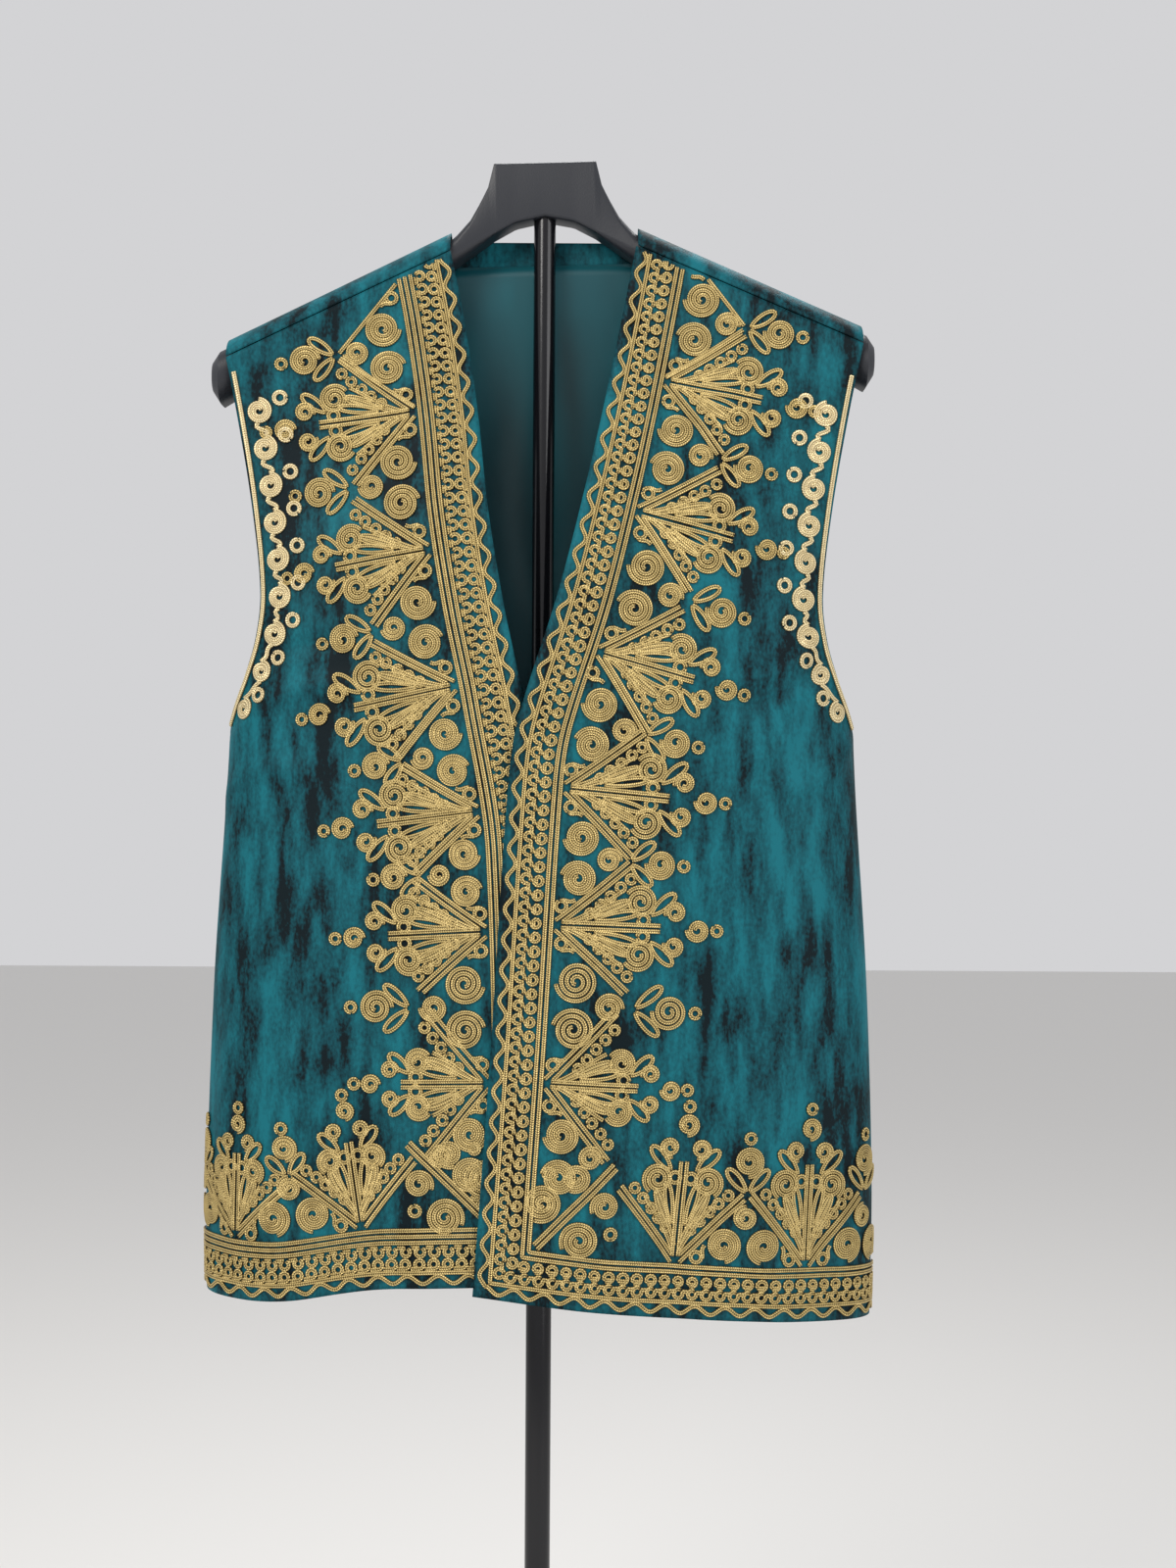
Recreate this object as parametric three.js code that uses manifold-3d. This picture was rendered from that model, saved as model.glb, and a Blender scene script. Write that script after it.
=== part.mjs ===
// Embroidered folk vest hanging on a telescoping display stand.
// Millimetres, +Z up, front towards -Y, origin under the middle of the stand's base.
// Left and right are the wearer's: the left front is on the +X side and laps over the right one.
import * as THREE from "three";
import { mergeVertices } from "three/addons/utils/BufferGeometryUtils.js";
import Module from "manifold-3d";

const wasm = await Module();
wasm.setup();

// ---------------------------------------------------------------- driving sizes

const GAP = 0.3; // clearance between neighbouring pieces
const LEFT = 1;
const RIGHT = -1;
const FRONT = -1;
const BACK = 1;

// The stand
const TOTAL_HEIGHT = 1320;
const BASE = { radius: 145, thick: 9, edge: 2.5 };
const SOCKET = { radius: 15, flange: 34, flangeThick: 5, top: 38 };
const LOWER_TUBE = { radius: 8.75, bore: 7.9, top: 700, floor: 24 };
const COLLAR = { radius: 14, bottom: 688, top: 716 };
const UPPER_TUBE = { radius: 7.5, bore: 6.2, bottom: 330, top: 1302 };
const HEAD_BORE = 7.8;
const ROUND_SIDES = 24;

// The hanger head, from its middle out to one tip; the other half is its mirror image.
// x: distance from the middle, forward: how far the section is swept to the front.
const HEAD_SECTIONS = [
  { x: 0, top: TOTAL_HEIGHT, bottom: 1283, halfDepth: 11.0, forward: 0, round: 2 },
  { x: 20, top: TOTAL_HEIGHT, bottom: 1279, halfDepth: 11.0, forward: 0, round: 2 },
  { x: 35, top: TOTAL_HEIGHT, bottom: 1271, halfDepth: 11.3, forward: 0, round: 2 },
  { x: 39, top: 1304, bottom: 1268, halfDepth: 11.6, forward: 0, round: 3 },
  { x: 44, top: 1294, bottom: 1264.5, halfDepth: 12.0, forward: 0, round: 4 },
  { x: 51, top: 1282, bottom: 1259, halfDepth: 12.4, forward: 0.3, round: 6 },
  { x: 62, top: 1270, bottom: 1251, halfDepth: 13.0, forward: 1, round: 8 },
  { x: 110, top: 1246.3, bottom: 1222.5, halfDepth: 16, forward: 5, round: 11 },
  { x: 170, top: 1216.6, bottom: 1187, halfDepth: 20, forward: 11, round: 14 },
  { x: 219, top: 1192.4, bottom: 1157, halfDepth: 22.7, forward: 16.6, round: 16 },
  { x: 224, top: 1185, bottom: 1165, halfDepth: 17, forward: 16, round: 9 },
];
const HEAD_TILT = 0.0306; // the head leans a little, +X side up

// The vest's body as rings: half width, and depth to the front and to the back.
const RINGS = [
  { z: 530, halfWidth: 228, front: 73, back: 60 },
  { z: 620, halfWidth: 229, front: 72, back: 60 },
  { z: 760, halfWidth: 224.5, front: 70, back: 59 },
  { z: 930, halfWidth: 214.5, front: 68, back: 58 },
  { z: 1060, halfWidth: 215, front: 66, back: 56 },
  { z: 1290, halfWidth: 230, front: 60, back: 50 },
];
const RING_POWER = 2.4; // 2 is an ellipse, more is squarer
const NECK_X = 64; // where the shoulder meets the neck opening
const RIDGE = { z: 1274.6, slope: 0.494, cap: 16, clear: 4.5 };
const SHOULDER = { from: 62, to: 219, halfDepth: [13, 22.7], forward: [1, 16.6] };
const SHOULDER_HANG = 230; // height over which the shoulder's depth becomes the ring's
const SEAM_DROP = 15; // the shoulder seam lies in front of the ridge, this much lower
const SEAM_GAP = 0.9;

// Edges of the panels, as distance round the body from the middle of the front.
const LAP_EDGE = [
  { z: 540, s: -43 },
  { z: 709, s: -31.5 },
  { z: 893, s: -20.5 },
  { z: 935, s: -14.5 },
  { z: 1020, s: 11.5 },
  { z: 1082, s: 27 },
  { z: 1147, s: 41 },
  { z: 1262, s: 63 },
];
const UNDER_EDGE = [
  { z: 540, s: 13 },
  { z: 850, s: 5 },
  { z: 951, s: -11.5 },
  { z: 1015, s: -25 },
  { z: 1077, s: -35.5 },
  { z: 1144, s: -43.5 },
  { z: 1209, s: -54 },
  { z: 1262, s: -65 },
];
const ARMHOLE = [
  { z: 925, x: 214.6 },
  { z: 945, x: 208.5 },
  { z: 965, x: 201 },
  { z: 990, x: 193 },
  { z: 1020, x: 189.5 },
  { z: 1075, x: 195 },
  { z: 1140, x: 205.5 },
  { z: 1200, x: 217 },
];
const UNDERARM_Z = 925;
const HEM = [
  { s: -260, z: 548 },
  { s: -181, z: 547 },
  { s: -106, z: 559 },
  { s: -43, z: 561.5 },
];
const LAP_HEM = [
  { s: -43, z: 557 },
  { s: 43, z: 546 },
  { s: 130, z: 539 },
  { s: 260, z: 531 },
];
const BACK_HEM = [
  { s: -260, z: 548 },
  { s: 0, z: 544 },
  { s: 260, z: 531 },
];
const BACK_NECK_Z = 1271;

// Cloth and braid
const FRONT_WALL = 2.0;
const BACK_WALL = 1.5;
const LINING_WALL = 1.0;
const LINING_SHORT = 14; // the lining stops this far above the hem
const BRAID_THICK = 1.3;
const LAP_LIFT = 4.6; // the lapping front stands off the one under it
const BAND_MARGIN = 3;
const BAND_WIDTH = 36;
const ARMHOLE_MARGIN = 2;
const ARMHOLE_BRAID = 21;

// Heights of the palmettes' points on the edge bands, and their length.
const LEFT_PALMETTES = [
  { z: 1165, length: 104 },
  { z: 1074, length: 104 },
  { z: 981, length: 100 },
  { z: 891, length: 110 },
  { z: 801, length: 107 },
  { z: 697, length: 96 },
];
const RIGHT_PALMETTES = [
  { z: 1142, length: 100 },
  { z: 1048, length: 98 },
  { z: 958, length: 106 },
  { z: 875, length: 106 },
  { z: 796, length: 100 },
  { z: 696, length: 84 },
];
// Places of the palmettes that stand on the hem, and of the buds between them.
const HEM_PALMETTES = { left: [91, 180], right: [-116, -207] };
const HEM_BUDS = { left: [136, 226], right: [-161, -250] };
const HEM_PALMETTE_LENGTH = 84;
const HEM_PITCH = 89;
const CORNER_FIGURE = 62;
const SHOULDER_FIGURE_END = 168;

// Half outlines, from the band outwards: out is a share of the length, half of the pitch.
const PALMETTE_OUTLINE = [
  { out: 0.02, half: 0.015 },
  { out: 0.36, half: 0.37 },
  { out: 0.46, half: 0.37 },
  { out: 0.56, half: 0.27 },
  { out: 0.78, half: 0.25 },
  { out: 0.83, half: 0.17 },
  { out: 0.96, half: 0.1 },
  { out: 1.0, half: 0.03 },
];
const BUD_OUTLINE = [
  { out: 0.04, half: 0.34 },
  { out: 0.34, half: 0.05 },
  { out: 0.46, half: 0.05 },
  { out: 0.58, half: 0.11 },
  { out: 0.72, half: 0.14 },
  { out: 0.8, half: 0.1 },
  { out: 0.86, half: 0.03 },
];

// ---------------------------------------------------------------- finishes

function finish(color, roughness, metalness = 0) {
  return new THREE.MeshStandardMaterial({ color, roughness, metalness });
}

const finishes = {
  velvet: finish(0x0d5a63, 0.75),
  satin: finish(0x04505a, 0.45),
  braid: finish(0xb7a05e, 0.5, 0.5),
  tube: finish(0x0b0b0d, 0.25, 0.4),
  moulding: finish(0x1a1d24, 0.5),
};

// ---------------------------------------------------------------- tables and curves

// Reads a table at a place with a smooth curve through its rows.
function read(rows, key, place, column) {
  const last = rows.length - 1;
  if (place <= rows[0][key]) return rows[0][column];
  if (place >= rows[last][key]) return rows[last][column];
  const i = rows.findLastIndex((row) => row[key] <= place);
  const slope = (k) => {
    const a = rows[Math.max(k - 1, 0)];
    const b = rows[Math.min(k + 1, last)];
    return (b[column] - a[column]) / (b[key] - a[key]);
  };
  const step = rows[i + 1][key] - rows[i][key];
  const u = (place - rows[i][key]) / step;
  const rise = u * u * (3 - 2 * u);
  return (
    rows[i][column] * (1 - rise) +
    rows[i + 1][column] * rise +
    step * slope(i) * u * (1 - u) ** 2 -
    step * slope(i + 1) * u * u * (1 - u)
  );
}

const smooth = (t) => THREE.MathUtils.smoothstep(t, 0, 1);

// ---------------------------------------------------------------- the cloth's surface

function ridgeHeight(x) {
  return RIDGE.z - RIDGE.slope * Math.max(Math.abs(x) - NECK_X, 0) + HEAD_TILT * x;
}

// The shoulder follows the hanger head, which widens and sweeps forward evenly.
function alongShoulder(x) {
  return Math.max(Math.abs(x) - SHOULDER.from, 0) / (SHOULDER.to - SHOULDER.from);
}

function shoulderHalfDepth(x) {
  const [neck, tip] = SHOULDER.halfDepth;
  return THREE.MathUtils.lerp(neck, tip, alongShoulder(x)) + RIDGE.clear;
}

function forwardSweep(x) {
  const [neck, tip] = SHOULDER.forward;
  return THREE.MathUtils.lerp(neck, tip, alongShoulder(x));
}

// Distance of the cloth's outer face from the plane of the stand, on the given side.
function depthAt(side, x, z) {
  const width = read(RINGS, "z", z, "halfWidth");
  const depth = read(RINGS, "z", z, side === FRONT ? "front" : "back");
  const across = Math.min(Math.abs(x) / width, 1);
  const ring = depth * (1 - across ** RING_POWER) ** (1 / RING_POWER);
  const below = Math.max(ridgeHeight(x) - z, 0);
  const round = Math.sqrt(1 - (1 - Math.min(below / RIDGE.cap, 1)) ** 2);
  const shoulder = shoulderHalfDepth(x) * round - side * forwardSweep(x);
  return THREE.MathUtils.lerp(shoulder, ring, smooth(below / SHOULDER_HANG));
}

// One half of the level section at a height: distances from the middle and lengths round it.
const sections = new Map();
function levelSection(side, hand, z) {
  const key = [side, hand, z.toFixed(3)].join();
  if (!sections.has(key)) {
    const width = read(RINGS, "z", z, "halfWidth");
    const points = [];
    const steps = 160;
    for (let i = 0; i <= steps; i++) {
      const x = width * Math.sin((Math.PI / 2) * (i / steps)) ** (2 / RING_POWER);
      const y = side * depthAt(side, hand * x, z);
      const from = points[i - 1] ?? { x, y, s: 0 };
      points.push({ x, y, s: from.s + Math.hypot(x - from.x, y - from.y) });
    }
    sections.set(key, points);
  }
  return sections.get(key);
}

function between(points, key, place) {
  const last = points.length - 1;
  const i = Math.min(Math.max(points.findLastIndex((p) => p[key] <= place), 0), last - 1);
  const a = points[i];
  const b = points[i + 1];
  const t = THREE.MathUtils.clamp((place - a[key]) / (b[key] - a[key]), 0, 1);
  return {
    x: THREE.MathUtils.lerp(a.x, b.x, t),
    y: THREE.MathUtils.lerp(a.y, b.y, t),
    s: THREE.MathUtils.lerp(a.s, b.s, t),
  };
}

const handOf = (s) => (s < 0 ? RIGHT : LEFT);

// How far the lapping front stands off the body.
function lapLift(s, z) {
  return LAP_LIFT * (1 - smooth((s - 20) / 80)) * (1 - smooth((z - 940) / 160));
}

// Point of the outer face at a distance round the body and a height.
function clothPoint(side, s, z, lapping = false) {
  const p = between(levelSection(side, handOf(s), z), "s", Math.abs(s));
  const lift = lapping ? lapLift(s, z) : 0;
  return new THREE.Vector3(handOf(s) * p.x, p.y + side * lift, z);
}

function distanceRound(side, x, z) {
  return between(levelSection(side, handOf(x), z), "x", Math.abs(x)).s;
}

// The outer edge of a panel: the armhole, and the side seam below it.
function outerEdge(side, hand, z) {
  if (z >= UNDERARM_Z) {
    return distanceRound(side, hand * read(ARMHOLE, "z", z, "x"), z);
  }
  return levelSection(side, hand, z).at(-1).s - GAP / 2;
}

function seamHeight(x) {
  return ridgeHeight(x) - SEAM_DROP;
}

// ---------------------------------------------------------------- sheets and walls

// A sheet is a grid of places with a function from place to surface point. Normals come from
// the surface itself, so a wall or a braid layer lies parallel to the cloth.
function normalAt(surface, place, outward) {
  const step = 0.4;
  const [a, b] = place;
  const across = surface(a + step, b).sub(surface(a - step, b));
  const up = surface(a, b + step).sub(surface(a, b - step));
  const normal = across.cross(up).normalize();
  return normal.dot(outward) < 0 ? normal.negate() : normal;
}

// Closed wall over the cells of a grid of { point, normal }, from one offset to another.
function wall(grid, outer, inner, present = () => true) {
  const rows = grid.length;
  const columns = grid[0].length;
  const vertices = [];
  for (const offset of [outer, inner]) {
    for (const { point, normal } of grid.flat()) {
      vertices.push(...point.clone().addScaledVector(normal, offset));
    }
  }
  const faces = [];
  const has = (j, i) =>
    j >= 0 && i >= 0 && j < rows - 1 && i < columns - 1 && present(j, i);
  const at = (j, i) => j * columns + i;
  const under = rows * columns;
  const side = (a, b) => faces.push(a, a + under, b + under, a, b + under, b);
  for (let j = 0; j < rows - 1; j++) {
    for (let i = 0; i < columns - 1; i++) {
      if (!has(j, i)) continue;
      const [a, b, c, d] = [at(j, i), at(j, i + 1), at(j + 1, i + 1), at(j + 1, i)];
      faces.push(a, b, c, a, c, d);
      faces.push(a + under, c + under, b + under, a + under, d + under, c + under);
      if (!has(j - 1, i)) side(a, b);
      if (!has(j, i + 1)) side(b, c);
      if (!has(j + 1, i)) side(c, d);
      if (!has(j, i - 1)) side(d, a);
    }
  }
  return closedGeometry(vertices, faces);
}

// Merges the shared vertices and turns the faces outwards.
function closedGeometry(vertices, faces) {
  const geometry = new THREE.BufferGeometry();
  geometry.setAttribute("position", new THREE.Float32BufferAttribute(vertices, 3));
  geometry.setIndex(faces);
  const merged = mergeVertices(geometry.toNonIndexed(), 1e-3);
  const index = merged.index.array;
  const [a, b, c] = [0, 1, 2].map(() => new THREE.Vector3());
  let volume = 0;
  for (let i = 0; i < index.length; i += 3) {
    a.fromBufferAttribute(merged.attributes.position, index[i]);
    b.fromBufferAttribute(merged.attributes.position, index[i + 1]);
    c.fromBufferAttribute(merged.attributes.position, index[i + 2]);
    volume += a.dot(b.cross(c));
  }
  if (volume < 0) {
    for (let i = 0; i < index.length; i += 3) {
      [index[i + 1], index[i + 2]] = [index[i + 2], index[i + 1]];
    }
  }
  return merged;
}

function solidOf(geometry) {
  const bare = geometry.clone();
  bare.deleteAttribute("normal");
  bare.deleteAttribute("uv");
  const merged = mergeVertices(bare, 1e-3);
  return new wasm.Manifold(
    new wasm.Mesh({
      numProp: 3,
      vertProperties: merged.attributes.position.array,
      triVerts: new Uint32Array(merged.index.array),
    }),
  );
}

function geometryOf(solid) {
  const { vertProperties, triVerts } = solid.getMesh();
  const geometry = new THREE.BufferGeometry();
  geometry.setAttribute("position", new THREE.BufferAttribute(vertProperties, 3));
  geometry.setIndex(new THREE.BufferAttribute(triVerts, 1));
  return geometry;
}

// ---------------------------------------------------------------- the panels

const FRONT_COLUMNS = 10;
const ROWS_BELOW = 9; // hem to underarm
const ROWS_ABOVE = 8; // underarm to shoulder

// Shares of a panel's width, closer together towards the side where the body turns.
function columnShares(count) {
  return Array.from({ length: count + 1 }, (_, i) => {
    const t = i / count;
    return t + 0.1 * Math.sin(Math.PI * t);
  });
}

function rowHeight(row, low, high) {
  if (row <= ROWS_BELOW) {
    return THREE.MathUtils.lerp(low, UNDERARM_Z, row / ROWS_BELOW);
  }
  return THREE.MathUtils.lerp(UNDERARM_Z, high, (row - ROWS_BELOW) / ROWS_ABOVE);
}

// A grid place whose height depends on its distance round and the other way about.
function settle(heightOf, distanceOf) {
  let z = UNDERARM_Z;
  for (let i = 0; i < 30; i++) {
    z = (z + heightOf(distanceOf(z), z)) / 2;
  }
  return [distanceOf(z), z];
}

const fronts = {
  left: { hand: LEFT, edge: LAP_EDGE, hem: LAP_HEM, lapping: true },
  right: { hand: RIGHT, edge: UNDER_EDGE, hem: HEM, lapping: false },
};

function frontSurface({ lapping }) {
  return (s, z) => clothPoint(FRONT, s, z, lapping);
}

function frontGrid(front) {
  const surface = frontSurface(front);
  const outward = new THREE.Vector3(front.hand * 0.4, FRONT, 0);
  const placeAt = (share, row) =>
    settle(
      (s, z) => {
        const top = seamHeight(surface(s, z).x) - SEAM_GAP;
        return rowHeight(row, read(front.hem, "s", s, "z"), top);
      },
      (z) => {
        const inner = read(front.edge, "z", z, "s");
        const outer = front.hand * outerEdge(FRONT, front.hand, z);
        return THREE.MathUtils.lerp(inner, outer, share);
      },
    );
  const grid = [];
  for (let row = 0; row <= ROWS_BELOW + ROWS_ABOVE; row++) {
    grid.push(
      columnShares(FRONT_COLUMNS).map((share) => {
        const place = placeAt(share, row);
        return { point: surface(...place), normal: normalAt(surface, place, outward) };
      }),
    );
  }
  return grid;
}

const NECK_SHARE = 0.283; // the neck opening's share of the back's half width at the top
const BACK_SHARES = [0, 0.15, NECK_SHARE, 0.5, 0.7, 0.87, 1];
const CAP_ANGLES = [22, 56, 90, 124, 158];

// Surface of the back, over the shoulder ridge: turn is the angle over the ridge, in degrees.
function overShoulder(x, turn) {
  const angle = THREE.MathUtils.degToRad(turn);
  const y = shoulderHalfDepth(x) * Math.cos(angle) - forwardSweep(x);
  return new THREE.Vector3(x, y, ridgeHeight(x) - RIDGE.cap * (1 - Math.sin(angle)));
}

function backGrid() {
  const shares = [...BACK_SHARES.slice(1).map((u) => -u).reverse(), ...BACK_SHARES];
  const surface = (s, z) => clothPoint(BACK, s, z);
  const grid = [];
  for (let row = 0; row <= ROWS_BELOW + ROWS_ABOVE; row++) {
    grid.push(
      shares.map((share) => {
        const place = settle(
          (s, z) => {
            const top = ridgeHeight(surface(s, z).x) - RIDGE.cap;
            return rowHeight(row, read(BACK_HEM, "s", s, "z"), top);
          },
          (z) => share * outerEdge(BACK, handOf(share), z),
        );
        const outward = new THREE.Vector3(share, BACK, 0);
        const normal = normalAt(surface, place, outward);
        return { point: surface(...place), normal, share };
      }),
    );
  }
  const topRow = grid.at(-1);
  const lastTurn = 180 - THREE.MathUtils.radToDeg(Math.asin(1 - SEAM_DROP / RIDGE.cap));
  for (const turn of [...CAP_ANGLES, lastTurn]) {
    grid.push(topRow.map((below) => shoulderPoint(below, turn)));
  }
  return grid;
}

// A point above the back's top row: over the ridge, or up to the neckline inside the neck.
function shoulderPoint(below, turn) {
  const { x } = below.point;
  if (Math.abs(below.share) < NECK_SHARE - 0.01) {
    const point = new THREE.Vector3(x, shoulderHalfDepth(x), BACK_NECK_Z);
    return { point, normal: new THREE.Vector3(0, 1, 0) };
  }
  const outward = new THREE.Vector3(0, Math.cos(THREE.MathUtils.degToRad(turn)), 1);
  return {
    point: overShoulder(x, turn),
    normal: normalAt(overShoulder, [x, turn], outward),
  };
}

// Which cells the back has: all below the neckline, then only the shoulders.
function backHas(row, column) {
  const neckColumns = BACK_SHARES.indexOf(NECK_SHARE);
  const fromMiddle = Math.abs(column + 0.5 - (BACK_SHARES.length - 1));
  return row <= ROWS_BELOW + ROWS_ABOVE || fromMiddle > neckColumns;
}

// ---------------------------------------------------------------- braid figures

// A solid that stands in front of the vest with the given outline, [s, z] places on a front.
function prism(front, outline) {
  const surface = frontSurface(front);
  const shape = new THREE.Shape(
    outline.map(([s, z]) => new THREE.Vector2(surface(s, z).x, z)),
  );
  const depth = 2 * RINGS[0].front;
  const geometry = new THREE.ExtrudeGeometry(shape, { depth, bevelEnabled: false });
  return solidOf(geometry.rotateX(Math.PI / 2));
}

// Slope of the front edge and the band's inner line at a height.
function bandFrame(front, z) {
  const reach = 50;
  const above = read(front.edge, "z", z + reach, "s");
  const below = read(front.edge, "z", z - reach, "s");
  const lean = Math.atan((above - below) / (2 * reach));
  const s = read(front.edge, "z", z, "s") + (front.hand * BAND_WIDTH) / Math.cos(lean);
  return { s, z, axis: [front.hand * Math.cos(lean), -front.hand * Math.sin(lean)] };
}

function hemFrame(front, s) {
  const reach = 30;
  const ahead = read(front.hem, "s", s + reach, "z");
  const behind = read(front.hem, "s", s - reach, "z");
  const lean = Math.atan((ahead - behind) / (2 * reach));
  const z = read(front.hem, "s", s, "z") + BAND_WIDTH;
  return { s, z, axis: [-Math.sin(lean), Math.cos(lean)] };
}

// Outline of a figure that stands on a frame with its axis pointing away from the band.
function figureOutline(half, { s, z, axis: [as, az] }, length, pitch) {
  const sides = [1, -1].map((sign) =>
    half.map((row) => {
      const out = row.out * length;
      const along = sign * row.half * pitch;
      return [s + out * as - along * az, z + out * az + along * as];
    }),
  );
  return [...sides[0], ...sides[1].reverse()];
}

// The L-shaped band along the front edge and the hem.
function bandOutline(front) {
  const { hand, edge, hem } = front;
  const margin = hand * BAND_MARGIN;
  const heights = [...edge.map((row) => row.z), 1330].slice(1);
  const hemPlaces = [0.25, 0.5, 0.75, 1].map((t) => hand * THREE.MathUtils.lerp(20, 262, t));
  const corner = read(edge, "z", edge[0].z, "s");
  const lowZ = (s) => read(hem, "s", s, "z");
  const innerS = corner + hand * BAND_WIDTH;
  return [
    ...heights.map((z) => [read(edge, "z", z, "s") + margin, z]).reverse(),
    [corner + margin, lowZ(corner) + BAND_MARGIN],
    ...hemPlaces.map((s) => [s, lowZ(s) + BAND_MARGIN]),
    ...hemPlaces.map((s) => [s, lowZ(s) + BAND_WIDTH - GAP]).reverse(),
    [innerS, lowZ(innerS) + BAND_WIDTH - GAP],
    ...heights.map((z) => [bandFrame(front, z).s - hand * GAP, z]),
  ];
}

function armholeOutline({ hand }) {
  const rows = ARMHOLE.filter((row) => row.z > UNDERARM_Z + 5);
  const line = (inset) =>
    rows.map(({ z }) => [hand * (distanceRound(FRONT, hand * read(ARMHOLE, "z", z, "x"), z) - inset), z]);
  return [...line(ARMHOLE_MARGIN), ...line(ARMHOLE_BRAID).reverse()];
}

// The triangle in the lower corner of a front, between its two bands.
function cornerOutline(front, length) {
  const side = bandFrame(front, 600);
  const foot = read(front.hem, "s", side.s, "z") + BAND_WIDTH;
  const at = (out, up) => [side.s + front.hand * out, foot + up];
  return [at(2, 3), at(2, length), at(length, 5)];
}

// What shows of the topmost figure, which the shoulder seam cuts off.
function shoulderOutline(front, firstZ, end) {
  const low = firstZ + 44;
  const band = Math.abs(bandFrame(front, low).s) + 2;
  const top = (s) => seamHeight(front.hand * s) - 4;
  return [
    [band, low],
    [band + 6, top(band + 6)],
    [end, top(end)],
    [end + 6, top(end) - 14],
    [end - 30, top(end - 30) - 22],
  ].map(([s, z]) => [front.hand * s, z]);
}

// Every braid figure of one front, with its outline.
function braidFigures(name, front, palmettes) {
  const figures = [];
  const add = (kind, outline) => figures.push({ name: `${kind}_${name}`, outline });
  palmettes.forEach(({ z, length }, i) => {
    const above = palmettes[i - 1]?.z ?? 2 * z - palmettes[i + 1].z;
    const below = palmettes[i + 1]?.z ?? 2 * z - above;
    const pitch = Math.min(above - z, z - below);
    const outline = figureOutline(PALMETTE_OUTLINE, bandFrame(front, z), length, pitch);
    add(`palmette_${i + 1}`, outline);
    if (i > 0) {
      const middle = bandFrame(front, (above + z) / 2);
      add(`bud_${i}`, figureOutline(BUD_OUTLINE, middle, length, above - z));
    }
  });
  HEM_PALMETTES[name].forEach((s, i) => {
    const frame = hemFrame(front, s);
    const outline = figureOutline(PALMETTE_OUTLINE, frame, HEM_PALMETTE_LENGTH, HEM_PITCH);
    add(`hem_palmette_${i + 1}`, outline);
  });
  HEM_BUDS[name].forEach((s, i) => {
    const frame = hemFrame(front, s);
    const outline = figureOutline(BUD_OUTLINE, frame, HEM_PALMETTE_LENGTH, HEM_PITCH);
    add(`hem_bud_${i + 1}`, outline);
  });
  add("shoulder_braid", shoulderOutline(front, palmettes[0].z, SHOULDER_FIGURE_END));
  add("corner_braid", cornerOutline(front, CORNER_FIGURE));
  add("edge_braid", bandOutline(front));
  add("armhole_braid", armholeOutline(front));
  return figures;
}

// ---------------------------------------------------------------- the stand

function turned(profile) {
  const points = profile.map(([radius, z]) => new THREE.Vector2(radius, z));
  const geometry = new THREE.LatheGeometry([...points, points[0]], ROUND_SIDES);
  geometry.rotateX(Math.PI / 2);
  geometry.deleteAttribute("normal");
  geometry.deleteAttribute("uv");
  const merged = mergeVertices(geometry, 1e-3);
  return closedGeometry([...merged.attributes.position.array], [...merged.index.array]);
}

function basePlate() {
  const { radius, thick, edge } = BASE;
  return turned([
    [0, 0],
    [radius - edge, 0],
    [radius, edge],
    [radius, thick - edge],
    [radius - edge, thick],
    [0, thick],
  ]);
}

function baseSocket() {
  const inner = LOWER_TUBE.radius + GAP;
  const bottom = BASE.thick + GAP;
  return turned([
    [inner, bottom],
    [SOCKET.flange, bottom],
    [SOCKET.flange, bottom + SOCKET.flangeThick - 1],
    [SOCKET.flange - 3, bottom + SOCKET.flangeThick],
    [SOCKET.radius + 3, bottom + SOCKET.flangeThick + 1],
    [SOCKET.radius, bottom + SOCKET.flangeThick + 5],
    [SOCKET.radius - 2, SOCKET.top],
    [inner, SOCKET.top],
  ]);
}

function lowerTube() {
  const bottom = BASE.thick + GAP;
  return turned([
    [0, bottom],
    [LOWER_TUBE.radius, bottom],
    [LOWER_TUBE.radius, LOWER_TUBE.top],
    [LOWER_TUBE.bore, LOWER_TUBE.top],
    [LOWER_TUBE.bore, LOWER_TUBE.floor],
    [0, LOWER_TUBE.floor],
  ]);
}

function lockCollar() {
  const inner = LOWER_TUBE.radius + GAP;
  const lip = LOWER_TUBE.top + GAP;
  return turned([
    [inner, COLLAR.bottom],
    [COLLAR.radius - 2, COLLAR.bottom],
    [COLLAR.radius, COLLAR.bottom + 3],
    [COLLAR.radius, COLLAR.top - 4],
    [COLLAR.radius - 4, COLLAR.top],
    [LOWER_TUBE.bore, COLLAR.top],
    [LOWER_TUBE.bore, lip],
    [inner, lip],
  ]);
}

function upperTube() {
  return turned([
    [UPPER_TUBE.bore, UPPER_TUBE.bottom],
    [UPPER_TUBE.radius, UPPER_TUBE.bottom],
    [UPPER_TUBE.radius, UPPER_TUBE.top],
    [UPPER_TUBE.bore, UPPER_TUBE.top],
  ]);
}

// A rounded rectangle across the hanger head, as points in y and z.
function headSection({ x, top, bottom, halfDepth, forward, round }) {
  const cornerSteps = 3;
  const points = [];
  const radius = Math.min(round, (top - bottom) / 2 - 0.5, halfDepth - 0.5);
  for (let corner = 0; corner < 4; corner++) {
    const toBack = corner === 0 || corner === 3 ? 1 : -1;
    const toTop = corner < 2 ? 1 : -1;
    const y = toBack * (halfDepth - radius) - forward;
    const z = (toTop > 0 ? top - radius : bottom + radius) + HEAD_TILT * x;
    for (let i = 0; i <= cornerSteps; i++) {
      const angle = (Math.PI / 2) * (corner + i / cornerSteps);
      points.push([x, y + radius * Math.cos(angle), z + radius * Math.sin(angle)]);
    }
  }
  return points;
}

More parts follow.
